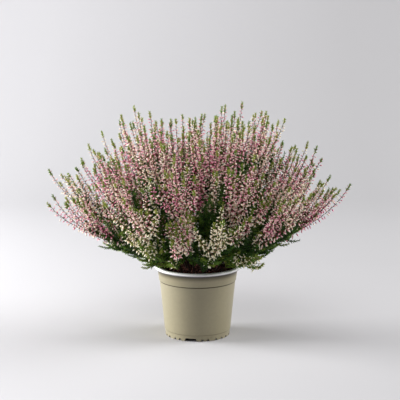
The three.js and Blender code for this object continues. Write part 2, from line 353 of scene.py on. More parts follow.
class Paint:
    """A material in the making, with a method for each kind of node."""

    def __init__(self, name, roughness, specular):
        self.material = bpy.data.materials.new(name)
        self.material.use_nodes = True
        self.nodes = self.material.node_tree.nodes
        self.link = self.material.node_tree.links.new
        self.shader = self.nodes["Principled BSDF"]
        self.shader.inputs["Roughness"].default_value = roughness
        self.shader.inputs["Specular IOR Level"].default_value = specular

    def coloured(self, colour):
        self.link(colour, self.shader.inputs["Base Color"])
        return self.material

    def ramp(self, value, stops):
        """The colour at a value between 0 and 1, where each stop is a place and its colour."""
        node = self.nodes.new("ShaderNodeValToRGB")
        elements = node.color_ramp.elements
        while len(elements) > 1:
            elements.remove(elements[-1])
        elements[0].position = stops[0][0]
        elements[0].color = linear(stops[0][1])
        for place, colour in stops[1:]:
            elements.new(place).color = linear(colour)
        self.link(value, node.inputs[0])
        return node.outputs[0]

    def axes(self, place):
        split = self.nodes.new("ShaderNodeSeparateXYZ")
        self.link(place, split.inputs[0])
        return split.outputs

    def mapped(self):
        """The two numbers of the colour map: the tone across it, and the height from foot to tip."""
        where = self.nodes.new("ShaderNodeUVMap")
        where.uv_map = UV_NAME
        tone, height, _ = self.axes(where.outputs["UV"])
        return tone, height

    def object_place(self):
        return self.nodes.new("ShaderNodeTexCoord").outputs["Object"]

    def mixed(self, share, a, b, kind="MIX"):
        node = self.nodes.new("ShaderNodeMix")
        node.data_type = "RGBA"
        node.blend_type = kind
        for value, number in zip((share, a, b), MIX_INPUTS):
            if isinstance(value, (float, tuple)):
                node.inputs[number].default_value = value
            else:
                self.link(value, node.inputs[number])
        return node.outputs[MIX_OUTPUT]

    def noise(self, place, scale, detail):
        node = self.nodes.new("ShaderNodeTexNoise")
        node.inputs["Scale"].default_value = scale
        node.inputs["Detail"].default_value = detail
        self.link(place, node.inputs["Vector"])
        return node.outputs["Fac"]

    def bump(self, height, strength, distance):
        node = self.nodes.new("ShaderNodeBump")
        node.inputs["Strength"].default_value = strength
        node.inputs["Distance"].default_value = distance
        self.link(height, node.inputs["Height"])
        self.link(node.outputs[0], self.shader.inputs["Normal"])

    def by_height(self, stops):
        """A colour for each height up the pot."""
        share = self.nodes.new("ShaderNodeMath")
        share.operation = "DIVIDE"
        share.inputs[1].default_value = POT_HEIGHT * MM
        self.link(self.axes(self.object_place())[2], share.inputs[0])
        return self.ramp(share.outputs[0], [(z / POT_HEIGHT, colour) for z, colour in stops])


def bud_material(name):
    """Tones from cream to magenta, each with a paler tip, partly its own colour and partly a painted
    highlight, and a foot darkened by painted shade.
    """
    paint = Paint(name, roughness=0.5, specular=0.3)
    tone, height = paint.mapped()
    body = paint.ramp(tone, [
        (0.0, (244, 232, 178)), (0.25, (242, 206, 172)), (0.5, (224, 134, 144)),
        (0.75, (206, 86, 126)), (1.0, (178, 54, 108)),
    ])
    tip = paint.ramp(tone, [
        (0.0, (255, 252, 226)), (0.4, (255, 240, 225)), (0.7, (255, 214, 212)), (1.0, (244, 160, 184)),
    ])
    # the paler tip: partly the bud's own colour, partly a painted highlight
    to_tip = paint.ramp(height, [(0.42, BLACK), (0.62, WHITE)])
    # painted shade: a dark foot where the bud meets its stalk
    foot_shade = paint.ramp(height, [(0.14, WHITE), (0.36, BLACK)])
    colour = paint.mixed(to_tip, body, tip)
    return paint.coloured(paint.mixed(foot_shade, colour, linear((50, 34, 22))))


def leaf_material(name):
    """Greens for tones up to 0.8, from deep to bright, and bark above, paler towards each tip by a
    painted highlight.
    """
    paint = Paint(name, roughness=0.6, specular=0.2)
    tone, height = paint.mapped()
    body = paint.ramp(tone, [
        (0.0, (14, 34, 7)), (0.3, (46, 86, 20)), (0.55, (100, 132, 38)), (0.78, (150, 160, 64)),
        (0.84, (96, 70, 44)), (1.0, (44, 30, 22)),
    ])
    # painted highlight: paler and yellower towards the tip of each leaf and stalk
    to_tip = paint.ramp(height, [(0.4, BLACK), (1.0, (110, 110, 110))])
    lit = paint.mixed(0.4, body, linear((176, 190, 96)))
    return paint.coloured(paint.mixed(to_tip, body, lit))


def crumb_material():
    """Tones from nearly black to a reddish brown."""
    paint = Paint("peat_crumbs", roughness=0.95, specular=0.2)
    tone, _ = paint.mapped()
    return paint.coloured(paint.ramp(tone, [
        (0.0, (22, 13, 10)), (0.5, (72, 42, 36)), (0.85, (122, 76, 66)), (1.0, (158, 112, 94)),
    ]))


def pot_material():
    """Beige plastic, darkened by painted shade in the creases over the foot and under the collar, and
    under the lip.
    """
    paint = Paint("pot_plastic", roughness=0.42, specular=0.5)
    where = paint.object_place()
    cloud = paint.noise(where, scale=240, detail=4)
    mottle = paint.ramp(cloud, [(0.3, (146, 138, 112)), (0.7, (150, 142, 115))])
    crease_shade, deep_crease_shade = (205, 200, 190), (130, 124, 110)
    # painted shade by height: in the crease over the foot, in the groove under the collar, and under
    # the lip
    shade = paint.by_height([
        (7.9, WHITE), (8.3, crease_shade), (8.9, crease_shade), (9.3, WHITE),
        (77.1, WHITE), (77.5, deep_crease_shade), (78.6, deep_crease_shade), (79.0, WHITE),
        (86.0, WHITE), (88.4, (226, 224, 218)), (90.0, (188, 184, 176)), (91.4, (156, 152, 144)),
        (94.4, (84, 82, 80)),
    ])
    paint.bump(paint.noise(where, scale=900, detail=3), strength=0.08, distance=0.1 * MM)
    return paint.coloured(paint.mixed(1.0, mottle, shade, "MULTIPLY"))


def lip_material():
    """White on top, and darkened by painted shade to grey under its roll."""
    paint = Paint("pot_lip_plastic", roughness=0.4, specular=0.5)
    # painted shade: grey under the roll, white above
    return paint.coloured(paint.by_height([
        (94.6, (84, 83, 86)), (95.4, (124, 122, 125)), (96.4, (247, 246, 246)), (98.8, (252, 251, 250)),
    ]))


def underside_shade_material():
    """The same plastic, darkened by painted shade under the floor and on the edges of the notches."""
    paint = Paint("pot_underside_painted_shade", roughness=0.9, specular=0.2)
    paint.shader.inputs["Base Color"].default_value = linear((58, 53, 43))
    return paint.material


def peat_material():
    """Dark and reddish browns in a crumbly relief."""
    paint = Paint("peat", roughness=0.95, specular=0.2)
    where = paint.object_place()
    paint.bump(paint.noise(where, scale=1500, detail=5), strength=0.8, distance=1 * MM)
    return paint.coloured(paint.ramp(paint.noise(where, scale=420, detail=6), [
        (0.35, (30, 18, 13)), (0.55, (76, 47, 38)), (0.7, (136, 88, 70)),
    ]))


PINK = bud_material("pink_buds")
PALE = bud_material("pale_buds")
GREEN = leaf_material("heather_leaves")

# ---- buds, scale leaves and stalks ----
# A tone is a place across the colour map. A pair of numbers is the range of a draw, where no comment
# says otherwise. Places on a path, such as first, last, start and t, are shares from 0 to 1.

GOLDEN = math.radians(137.5)
ANY_TURN = (0, 7)  # radians
ANY_ROLL = (0, 3)  # radians
FEWEST = 3  # copies or rings in a row
SIZE_SHARES = (0.8, 1.2)

BUD_SPACING = 1.75  # along a spike
BUD_SHIFT = (-0.4, 0.4)  # of the spacing
BUD_TURN_SCATTER = 0.3  # radians
BUD_LENGTH = [(0, 6.3), (0.5, 5.7), (0.86, 4.8), (0.96, 3.8), (1, 3.0)]
BUD_WIDTH = 0.175  # radius, of the length
BUD_RISE = [(0, -24), (0.5, 8), (0.85, 24), (1, 45)]  # from square to the stalk
BUD_RISE_SCATTER = 16
BUD_DROOP = 0.25  # how much a spike's lowest buds hang
BUD_GAP = 0.4  # from the stalk's middle to a bud's foot
BUD_REACH = 2.0  # how much farther out some of a spike's lowest buds stand
CREAM_SHARE = 0.24  # of the buds of a spike, paler than the others
CREAM_TONE = 0.3  # of the others' tone
BUD_TONES = (0.02, 0.98)  # the limits of the colour map
BUD_TONE_SCATTER = 0.12
BLUSH_MIDDLE = 0.3  # where on a spike its buds have its own tone
TONE_VARIETY = 0.4  # how much the tone varies in a spike of tone 0
WAVE_TONE = 0.2  # how the tone swells towards the middle of a spike
WAVE_SPAN = 3  # radians, along the spike
PATCH_TONE = 0.6  # how the tone drifts from one region of the bush to the next
PATCH_SCALE = 26  # for each metre
PATCH_OFFSET = 3

# Scale leaves: the spacing along a shoot, the length, the width as a share of it, and the lean from
# the shoot's own direction.
SPIKE_LEAVES = dict(spacing=4.0, length=3.6, width=0.22, lean=50)
TIP_LEAVES = dict(spacing=0.75, length=3.6, width=0.34, lean=54)
SHOOT_LEAVES = dict(spacing=1.0, length=4.4, width=0.26, lean=42)
CROWD_LEAVES = dict(spacing=1.3, length=4.8, width=0.26, lean=50)
OWN_LEAVES = dict(spacing=2.0, length=4.8, width=0.26, lean=50)
HOLLOW_LEAVES = dict(spacing=1.2, length=4.8, width=0.26, lean=46)
LEAN_SCATTER = 8
LEAF_TAPER = 0.4  # how much smaller the last leaf is than the first
LEAF_GAP = 0.2  # from the shoot's middle to a leaf's foot
LEAF_TONES = (0.01, 0.79)  # the limits of its greens
LEAF_TONE_SCATTER = 0.08
LEAF_TONE_CLIMB = 0.1  # how much brighter the last leaf is than the first

STALK_SIDES = 3
STALK_STEP = 14  # from one ring to the next
STALK_END = 0.99
SPIKE_STALK = dict(foot=0.7, tip=0.35, tone=0.85)  # radii and a bark tone
SHOOT_STALK = dict(foot=0.6, tip=0.3, tone=0.9)

TIP_LENGTH = 6.5  # of the green tip over a spike's buds
TIP_SHARES = (0.7, 1.3)
LONGEST_TIP = 0.5
TIP_OVERLAP = 0.02
GREEN_TIP_TONES = (0.44, 0.74)
CREAM_SPIKE_TONE = 0.2  # a spike up to this tone has brighter leaves between its buds
# dark leaves between the buds of the other spikes: painted shade in the gaps
SPIKE_LEAF_TONE = 0.08
CREAM_SPIKE_LEAF_TONE = 0.4
SHOOT_START = 0.03
SPRIG_LIFT = 0.9  # how strongly a sprig bends up
STEEPEST = 89  # rise of a branch at its tip


def along(table, s):
    places, values = zip(*table)
    return np.interp(s, places, values)


def ring_way(path, s, turns, rise):
    """Feet on the path, the directions square to it at their turns, and these risen towards its tip."""
    forward, level, upper = path.square(s)
    out = level * np.cos(turns)[:, None] + upper * np.sin(turns)[:, None]
    way = out * np.cos(rise)[:, None] + forward * np.sin(rise)[:, None]
    return path.places(s), out, way


def patch(places):
    """A soft random number about -0.5 to 0.5 for each place."""
    shift = Vector((PATCH_OFFSET, 0, 0))
    return np.array([noise.noise(Vector(p) * PATCH_SCALE + shift) for p in places * MM])


def put_buds(batch, path, rng, first, last, tone, blush):
    """Buds along a spike, long and low at its foot, small and upright at its end."""
    span = (last - first) * path.length
    count = max(int(span / BUD_SPACING), FEWEST)
    share = ((np.arange(count) + rng.uniform(*BUD_SHIFT, count)) / (count - 1)).clip(0, 1)
    s = first + (last - first) * share
    turns = np.arange(count) * GOLDEN + rng.uniform(*ANY_TURN) + rng.normal(0, BUD_TURN_SCATTER, count)
    rise = np.radians(along(BUD_RISE, share) + rng.normal(0, BUD_RISE_SCATTER, count))
    feet, out, way = ring_way(path, s, turns, rise)
    way[:, 2] -= BUD_DROOP * (1 - share)
    length = along(BUD_LENGTH, share) * rng.uniform(*SIZE_SHARES, count)
    reach = rng.uniform(0, 1, count) ** 2 * BUD_REACH * (1 - share)
    feet = feet + out * (BUD_GAP + reach)[:, None]
    vary = TONE_VARIETY + tone
    wave = WAVE_TONE * np.sin(share * WAVE_SPAN) - WAVE_TONE / 2
    tones = tone + blush * (share - BLUSH_MIDDLE)
    tones += vary * (wave + PATCH_TONE * patch(feet) + rng.normal(0, BUD_TONE_SCATTER, count))
    cream = rng.uniform(0, 1, count) < CREAM_SHARE
    tones = np.where(cream, CREAM_TONE * tones, tones).clip(*BUD_TONES)
    batch.copies(BUD, feet, way, length, length * BUD_WIDTH, tones, rng.uniform(*ANY_ROLL, count))


def put_leaves(batch, path, rng, first, last, kind, tone):
    """Scale leaves along a shoot, leaning towards its tip."""
    span = (last - first) * path.length
    count = max(int(span / kind["spacing"]), FEWEST)
    share = (np.arange(count) + 0.5) / count
    s = first + (last - first) * share
    turns = np.arange(count) * GOLDEN + rng.uniform(*ANY_TURN)
    rise = np.radians(90 - kind["lean"] + rng.normal(0, LEAN_SCATTER, count))
    feet, out, way = ring_way(path, s, turns, rise)
    size = kind["length"] * (1 - LEAF_TAPER * share**3) * rng.uniform(*SIZE_SHARES, count)
    tones = tone + rng.normal(0, LEAF_TONE_SCATTER, count) + LEAF_TONE_CLIMB * share
    width = size * kind["width"]
    rolls = rng.uniform(*ANY_ROLL, count)
    batch.copies(Scale, feet + out * LEAF_GAP, way, size, width, tones.clip(*LEAF_TONES), rolls)


def put_stalk(greens, path, foot, tip, tone):
    s = np.linspace(0, STALK_END, max(int(path.length / STALK_STEP), FEWEST))
    greens.tube(path, s, np.linspace(foot, tip, len(s)), STALK_SIDES, tone)


def put_spike(buds, greens, path, rng, first, tone, blush):
    """A stalk with buds from first on, few leaves between them and a green tip."""
    tip = 1 - min(TIP_LENGTH * rng.uniform(*TIP_SHARES) / path.length, LONGEST_TIP)
    put_stalk(greens, path, **SPIKE_STALK)
    put_buds(buds, path, rng, first, tip + TIP_OVERLAP, tone, blush)
    leaf_tone = SPIKE_LEAF_TONE if tone > CREAM_SPIKE_TONE else CREAM_SPIKE_LEAF_TONE
    put_leaves(greens, path, rng, first, tip, SPIKE_LEAVES, leaf_tone)
    put_leaves(greens, path, rng, tip - TIP_OVERLAP, 1, TIP_LEAVES, rng.uniform(*GREEN_TIP_TONES))


def put_shoot(greens, path, rng, tone):
    put_stalk(greens, path, **SHOOT_STALK)
    put_leaves(greens, path, rng, SHOOT_START, 1, SHOOT_LEAVES, tone)


def sprig(spine, stem, t, turn, length, splay):
    """A short side shoot that leaves at an angle and bends up. Turn and splay are in radians."""
    forward, level, upper = spine.square_at(t)
    foot = spine.places([t])[0]
    out = level * math.cos(turn) + upper * math.sin(turn)
    first = forward * math.cos(splay) + out * math.sin(splay)
    last = unit(first + np.array([0, 0, SPRIG_LIFT]))

    def places(s):
        s = np.asarray(s, float)[:, None]
        return foot + length * (first * (s - s**2 / 2) + last * s**2 / 2)

    return Path(places, stem["tip_turn"])


def branch(spine, t, tip, rise):
    """A side branch from the stem at t to a tip, which it meets at a given rise."""
    forward = spine.forward(np.array([t]))[0]
    foot = spine.places([t])[0]
    tip_turn = math.degrees(math.atan2(tip[1], tip[0]))
    handle = HANDLE * np.linalg.norm(tip - foot)
    ending = heading(tip_turn, min(rise, STEEPEST))
    return bent(foot, foot + forward * handle, tip - ending * handle, tip, tip_turn)


# ---- sprays ----
# Tables are keyed by the count of the stem's tier, where they aren't said to be by the stem's number.

MAIN_START = 0.02  # where the buds of a spray's middle spike start
SIDE_BUDS_START = 0.16
CROWD = {  # extra spikes: how many, how far they spread across and up, and how far they drop
    2: dict(count=17, wide=62, high=36, drop=(4, 50)),
    6: dict(count=16, wide=56, high=36, drop=(4, 56)),
    10: dict(count=12, wide=34, high=30, drop=(6, 62)),
}
OWN_CROWD = {28: dict(count=8, wide=22, high=10, drop=(20, 60))}  # by the stem's number
SHORT_CROWD = 3  # extra spikes of a stem that is much shorter than its tier
MUCH_SHORTER = 0.9
LOW_CROWD_LESS = 2  # fewer in the lowest tier
CROWD_FRAME = 0.9  # the place on the stem that gives the directions across and up
CROWD_OFFSET = 0.7  # keeps the first of them from the middle
LOW_CROWD_LIFT = 0.9
LOW_CROWD_SINK = 0.05
OUTER_COUNT = 10  # the count of both outer tiers, whose outer spikes drop farther
OUTER_DROP = (0.6, 1)
CROWD_RISE = (-8, 10)  # more than the stem's own
CROWD_START = (0.4, 0.95)  # of the leafy part
BLUSH = {28: 0.8}  # how much pinker a spike's upper end is than its foot, by the stem's number
OTHER_BLUSH = 0.1
BLOOM = {2: (50, 85), 6: (55, 90), 10: (75, 110)}  # the length of an extra spike that is in bud
LOW_BLOOM = (45, 80)
FIRST_BUD = 0.25  # the lowest place for its buds to start
CROWD_TONE_SCATTER = 0.1
# darker leaves low on the extra spikes, inside the spray: painted shade
CROWD_LEAF_TONES = (0.02, 0.25)
LEAVES_START = 0.02
LEAVES_OVERLAP = 0.05  # with the buds above
CROWD_SHOOTS = dict(count=3, tones=(0.02, 0.35))

SIDE_SHOOT_PLACES = (0.15, 1.1)
SIDE_SHOOT_LENGTHS = (14, 24)
SIDE_SHOOT_SPLAY = 0.8  # radians

HALF_WAY = {2: 62, 6: 54, 10: 58}  # to the neighbouring stem's tip
HOLLOW_COUNT = {2: 2, 6: 5, 10: 6}  # leafy branches without buds between the sprays
HOLLOW_FRAME = 0.7  # as CROWD_FRAME
HOLLOW_SIDE = (0.45, 0.9)  # of the half way
HOLLOW_DEPTH = 0.05  # how far back from the other ends they stay
LOW_HOLLOW_DEPTH = 0.14
HOLLOW_LIFT = (0, 20)
HOLLOW_LIFT_BY_DEPTH = 60
HOLLOW_END = (0.6, 0.85)
HOLLOW_START = (0.3, 0.8)  # of the leafy part
HOLLOW_TONES = (0.05, 0.3)
HOLLOW_SHOOTS = dict(count=5, last=0.85, tones=(0.05, 0.35))

LOW_SPRIGS = {2: 2, 6: 3, 10: 5}  # short spikes round the foot of a spray
LOW_SPRIG_PLACES = (-0.14, 0.1)  # past the leaves
LOW_SPRIG_LENGTHS = (24, 44)
LOW_SPRIG_SPLAYS = (25, 50)
LOW_SPRIG_START = 0.3
LOW_SPRIG_TONE = -0.12  # more than the stem's own

OWN_SPIKES = [  # tufts placed one by one: the stem's number, the tip, the length in bud, and the tone
    (9, (-47, -88, 186), 50, 0.66), (9, (-36, -92, 206), 66, 0.6), (9, (-18, -92, 202), 66, 0.7),
    (9, (-10, -134, 196), 60, 0.58), (9, (-22, -146, 194), 64, 0.64), (9, (-35, -140, 188), 50, 0.44),
    (9, (-13, -146, 181), 54, 0.52), (9, (-28, -148, 178), 52, 0.56), (9, (-20, -146, 175), 40, 0.4),
    (9, (-34, -132, 172), 36, 0.26), (9, (-30, -100, 137), 14, 0.0), (9, (-14, -128, 208), 56, 0.76),
    (19, (32, -110, 176), 74, 0.0), (19, (7, -80, 157), 26, 0.0), (19, (20, -92, 152), 28, 0.0),
    (28, (-64, -108, 229), 36, 0.0), (10, (51, -95, 241), 60, 0.66), (20, (70, -76, 133), 22, 0.0),
    (20, (57, -78, 138), 24, 0.0), (20, (87, -70, 127), 18, 0.0), (3, (7, -110, 268), 76, 0.68),
    (3, (21, -114, 250), 64, 0.3), (3, (-4, -106, 244), 60, 0.74), (18, (-140, -66, 224), 66, 0.6),
    (27, (-126, -78, 205), 56, 0.5), (20, (85, -118, 212), 40, 0.5), (20, (72, -124, 200), 42, 0.42),
    (20, (62, -122, 188), 38, 0.5), (20, (96, -108, 220), 42, 0.56), (20, (52, -118, 178), 30, 0.4),
    (28, (-100, -120, 178), 28, 0.1), (28, (-88, -126, 172), 24, 0.06), (28, (-74, -128, 168), 24, 0.1),
    (28, (-62, -126, 160), 18, 0.04), (1, (6, -8, 312), 90, 0.62), (2, (-4, -22, 304), 80, 0.6),
]
OWN_RISE = {20: 52, 28: 50}  # how upright they end, by the stem's number
OTHER_RISE = 76
OWN_START = 0.2  # where they leave their stem
OWN_FIRST_BUD = 0.2
OWN_LEAF_TONE = 0.3
TUFT = 3  # spikes of each
TUFT_SPREAD = 6
TUFT_DROP = 5  # from one to the next


def crowd_of(stem):
    return OWN_CROWD.get(stem["number"], CROWD[stem["count"]])


def extra_spike(spine, stem, rng, n):
    """A spike that branches off the stem low down and ends in the room round the spray's tip."""
    crowd = crowd_of(stem)
    _, level, upper = spine.square_at(CROWD_FRAME)
    radius = math.sqrt((n + CROWD_OFFSET) / crowd["count"])
    turn = n * GOLDEN + stem["seed"]
    across, above = radius * math.cos(turn), radius * math.sin(turn)
    if is_low(stem):  # nothing stands below the lowest tier
        above = LOW_CROWD_LIFT * abs(above) - LOW_CROWD_SINK
    tip = spine.places([1])[0] + level * crowd["wide"] * across + upper * crowd["high"] * above
    outward = unit(tip - np.array([0, 0, SOIL_TOP_Z]))
    least, most = crowd["drop"]
    if stem["count"] < OUTER_COUNT:
        fall = rng.uniform(least, most)
    else:
        fall = least + (most - least) * radius * rng.uniform(*OUTER_DROP)
    rise = stem["end_rise"] + rng.uniform(*CROWD_RISE)
    return branch(spine, stem["leaves"] * rng.uniform(*CROWD_START), tip - outward * fall, rise)


def hollow_branch(spine, stem, rng, n):
    """A leafy branch without buds in the hollow between two sprays."""
    _, level, upper = spine.square_at(HOLLOW_FRAME)
    side = HALF_WAY[stem["count"]] * rng.uniform(*HOLLOW_SIDE) * (1 if n % 2 else -1)
    depth = LOW_HOLLOW_DEPTH if is_low(stem) else HOLLOW_DEPTH
    lift = rng.uniform(*HOLLOW_LIFT) + HOLLOW_LIFT_BY_DEPTH * depth
    tip = spine.places([rng.uniform(*HOLLOW_END) - depth])[0] + level * side + upper * lift
    return branch(spine, stem["leaves"] * rng.uniform(*HOLLOW_START), tip, stem["end_rise"])


def put_side_shoots(greens, path, stem, rng, count, last, tones):
    """Leafy side shoots along a path up to about its place last."""
    for k in range(count):
        turn = k * GOLDEN + rng.uniform(*ANY_TURN)
        s = last * rng.uniform(*SIDE_SHOOT_PLACES)
        shoot = sprig(path, stem, s, turn, rng.uniform(*SIDE_SHOOT_LENGTHS), SIDE_SHOOT_SPLAY)
        put_shoot(greens, shoot, rng, rng.uniform(*tones))


def put_crowd(buds, greens, spine, stem, rng, blush):
    """The extra spikes, each with leaves and side shoots under its buds."""
    low = is_low(stem)
    count = crowd_of(stem)["count"] - (LOW_CROWD_LESS if low else 0)
    if SHORT_STEMS.get(stem["number"], 1) < MUCH_SHORTER:
        count = SHORT_CROWD
    for n in range(count):
        path = extra_spike(spine, stem, rng, n)
        bloom = rng.uniform(*(LOW_BLOOM if low else BLOOM[stem["count"]]))
        first = max(1 - bloom / path.length, FIRST_BUD)
        tone = stem["tone"] + rng.normal(0, CROWD_TONE_SCATTER)
        put_spike(buds, greens, path, rng, first, tone, blush)
        last_leaf = first + LEAVES_OVERLAP
        tone = rng.uniform(*CROWD_LEAF_TONES)
        put_leaves(greens, path, rng, LEAVES_START, last_leaf, CROWD_LEAVES, tone)
        put_side_shoots(greens, path, stem, rng, last=first, **CROWD_SHOOTS)


def put_own_spikes(buds, greens, spine, stem, rng):
    """The stem's own tufts of the list above, the first spike of each at its very place."""
    for number, tip, bloom, tone in OWN_SPIKES:
        for n in range(TUFT if number == stem["number"] else 0):
            shift = rng.uniform(-1, 1, 3) * TUFT_SPREAD * (n > 0)
            place = np.array(tip) + shift - [0, 0, TUFT_DROP * n]
            path = branch(spine, OWN_START, place, OWN_RISE.get(number, OTHER_RISE))
            first = max(1 - bloom / path.length, OWN_FIRST_BUD)
            put_spike(buds, greens, path, rng, first, tone, OTHER_BLUSH)
            last_leaf = first + LEAVES_OVERLAP
            put_leaves(greens, path, rng, LEAVES_START, last_leaf, OWN_LEAVES, OWN_LEAF_TONE)


def flower_spray(stem, spine):
    """The buds, and the green parts between them, of the spray above a leafy stem."""
    rng = np.random.default_rng(stem["seed"])
    buds, greens = Batch(), Batch()
    blush = BLUSH.get(stem["number"], OTHER_BLUSH)
    main = part_of(spine, stem["leaves"], 1, stem["tip_turn"])
    put_spike(buds, greens, main, rng, MAIN_START, stem["tone"], blush)
    for n in range(len(stem["sides"])):
        path = side_spike(spine, stem, n)
        put_spike(buds, greens, path, rng, SIDE_BUDS_START, stem["tone"], blush)
    put_crowd(buds, greens, spine, stem, rng, blush)
    put_own_spikes(buds, greens, spine, stem, rng)
    for n in range(HOLLOW_COUNT[stem["count"]]):
        path = hollow_branch(spine, stem, rng, n)
        put_leaves(greens, path, rng, LEAVES_START, 1, HOLLOW_LEAVES, rng.uniform(*HOLLOW_TONES))
        put_side_shoots(greens, path, stem, rng, **HOLLOW_SHOOTS)
    for n in range(LOW_SPRIGS[stem["count"]]):
        t = stem["leaves"] + rng.uniform(*LOW_SPRIG_PLACES)
        turn = rng.uniform(0, math.pi if is_low(stem) else 2 * math.pi)
        length = rng.uniform(*LOW_SPRIG_LENGTHS)
        path = sprig(spine, stem, t, turn, length, math.radians(rng.uniform(*LOW_SPRIG_SPLAYS)))
        tone = stem["tone"] + LOW_SPRIG_TONE
        put_spike(buds, greens, path, rng, LOW_SPRIG_START, tone, OTHER_BLUSH)
    return buds, greens


# ---- leafy stems ----

STEM_SEED = 5  # more than the spray's
STEM_START = 0.01
STEM_RINGS = 10
STEM_SIDES = 6
STEM_RADII = (1.3, 0.9)  # at its foot and at the end of its leaves
STEM_TONE = 0.98

COAT = dict(count=38, lengths=(18, 32), splays=(35, 70), tones=(0.12, 0.66))
COAT_START = 0.14
COAT_PAST_LEAVES = 0.06
COAT_TURNS = (-0.3, 0.3)  # radians, more than the golden angle's
COAT_LEAST_LENGTH = 0.6  # at the stem's foot, as a share
COAT_LENGTH_CLIMB = 0.55
LOW_COAT = dict(count=14, lengths=(14, 22), splays=(50, 85), tones=(0.3, 0.75))  # above the soil, in brighter greens: painted light in the shade of the sprays
LOW_COAT_PLACES = (0.1, 0.26)
WIDE_COAT = dict(count=6, lengths=(30, 46), splays=(50, 75), tones=(0.05, 0.5))  # to both sides
WIDE_COAT_PLACES = (0.35, 1.0)  # of the leafy part
WIDE_COAT_TURNS = (-0.6, 0.6)  # radians

OWN_SHOOTS = [  # leafy ones that hang over the lip: the stem's number and the tip
    (20, (80, -34, 111)), (20, (72, -40, 108)), (20, (88, -40, 118)), (20, (78, -30, 115)),
    (20, (68, -34, 110)), (21, (84, -24, 113)), (28, (-62, -40, 108)), (28, (-72, -36, 112)),
]
OWN_SHOOT_START = 0.14
OWN_SHOOT_RISE = 20
OWN_SHOOT_TONES = (0.35, 0.7)
OWN_SIDE_SHOOTS = dict(count=5, last=0.9, tones=(0.3, 0.7))

OPEN_PLACES = [0.25, 0.6, 1.0]  # on a shoot, where it is tested
OPEN_HALF_WIDTH = 55
OPEN_TOP_Z = 102.5  # in the middle of the pot, as the camera sees it
OPEN_WAVE = 3
OPEN_WAVE_LENGTH = 4
SIGHT_SLOPE = 0.18  # how far the camera's line of sight falls for each millimetre to the back


def hides_soil(path):
    """Whether a shoot hangs into the open room over the front of the soil."""
    x, y, z = path.places(OPEN_PLACES).T
    top = OPEN_TOP_Z + OPEN_WAVE * np.sin(x / OPEN_WAVE_LENGTH)
    return bool(np.any((abs(x) < OPEN_HALF_WIDTH) & (z + SIGHT_SLOPE * y < top)))


def coat_shoot(spine, stem, rng, kind, t, turn, stretch=1):
    """A shoot of the stem's coat and its tone."""
    length = rng.uniform(*kind["lengths"]) * stretch
    path = sprig(spine, stem, t, turn, length, math.radians(rng.uniform(*kind["splays"])))
    return path, rng.uniform(*kind["tones"])


def leafy_stem(stem, spine):
    rng = np.random.default_rng(stem["seed"] + STEM_SEED)
    greens = Batch()
    end = stem["leaves"]
    s = np.linspace(STEM_START, end, STEM_RINGS)
    greens.tube(spine, s, np.linspace(*STEM_RADII, STEM_RINGS), STEM_SIDES, STEM_TONE)
    shoots = []
    for n in range(COAT["count"]):
        share = n + rng.uniform(0, 1)
        t = COAT_START + (end + COAT_PAST_LEAVES - COAT_START) * share / COAT["count"]
        turn = n * GOLDEN + rng.uniform(*COAT_TURNS)
        stretch = COAT_LEAST_LENGTH + COAT_LENGTH_CLIMB * t / end
        shoots.append(coat_shoot(spine, stem, rng, COAT, t, turn, stretch))
    for n in range(LOW_COAT["count"]):
        t = rng.uniform(*LOW_COAT_PLACES)
        shoots.append(coat_shoot(spine, stem, rng, LOW_COAT, t, n * GOLDEN))
    for n in range(WIDE_COAT["count"]):
        t = end * rng.uniform(*WIDE_COAT_PLACES)
        turn = (n % 2) * math.pi + rng.uniform(*WIDE_COAT_TURNS)
        shoots.append(coat_shoot(spine, stem, rng, WIDE_COAT, t, turn))
    for path, tone in shoots:
        if not hides_soil(path):
            put_shoot(greens, path, rng, tone)
    for number, tip in OWN_SHOOTS:
        if number == stem["number"]:
            path = branch(spine, OWN_SHOOT_START, np.array(tip), OWN_SHOOT_RISE)
            put_shoot(greens, path, rng, rng.uniform(*OWN_SHOOT_TONES))
            put_side_shoots(greens, path, stem, rng, **OWN_SIDE_SHOOTS)
    return greens


for stem in list_stems():
    label = f"{stem['number']:02d}"
    spine = spine_of(stem)
    pale = is_low(stem)
    buds, greens = flower_spray(stem, spine)
    piece = buds.build(f"buds_{label}", PALE if pale else PINK, "pale_buds" if pale else "pink_buds")
    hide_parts(f"flower_spray_{label}")
    greens.build(f"spray_greens_{label}", GREEN, "foliage")
    piece = leafy_stem(stem, spine).build(f"leafy_shoots_{label}", GREEN, "foliage")
    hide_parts(f"leafy_stem_{label}")

# ---- pot ----

POT_SEGMENTS = 160
LIP_FOOT_Z = 94.5
LIP_INNER_RADIUS = 54.6
POT_HEIGHT = 99
FLOOR_Z = 4.8
UNDERSIDE_RADIUS = 44.8  # painted shade within it, up to the floor
POT_PROFILE = [  # radius and height, from the middle of the floor's underside round to its top
    (0, FLOOR_Z), (43.7, FLOOR_Z), (43.7, 0.3), (44.0, 0), (44.7, 0), (45.0, 0.3), (45.6, 8.0),
    (45.9, 8.4), (46.3, 8.9), (53.0, 77.4), (52.5, 77.8), (52.5, 78.4), (53.9, 78.7), (54.1, 79.1),
    (56.0, 94.0), (56.2, LIP_FOOT_Z), (57.9, LIP_FOOT_Z), (59.0, 94.8), (59.7, 95.6), (60, 96.7),
    (59.8, 97.7), (59.2, 98.5), (58.4, 98.9), (57.5, POT_HEIGHT), (56.2, POT_HEIGHT), (55.4, 98.85),
    (54.9, 98.2), (52.8, 79), (51.8, 78.2), (45, 6.4), (0, 6.4),
]
ROUNDING = 0.01  # for a height's last digits
SHARP_ANGLE = 32
NOTCH_GROUPS = 3
FIRST_NOTCH_DEG = -102.3
NOTCH = dict(inner=40, outer=48, low=-1)
WIDE_NOTCH = dict(NOTCH, foot=18, top=14.6, high=4.3)
SMALL_NOTCH = dict(NOTCH, foot=3.4, top=2.8, high=2.7)
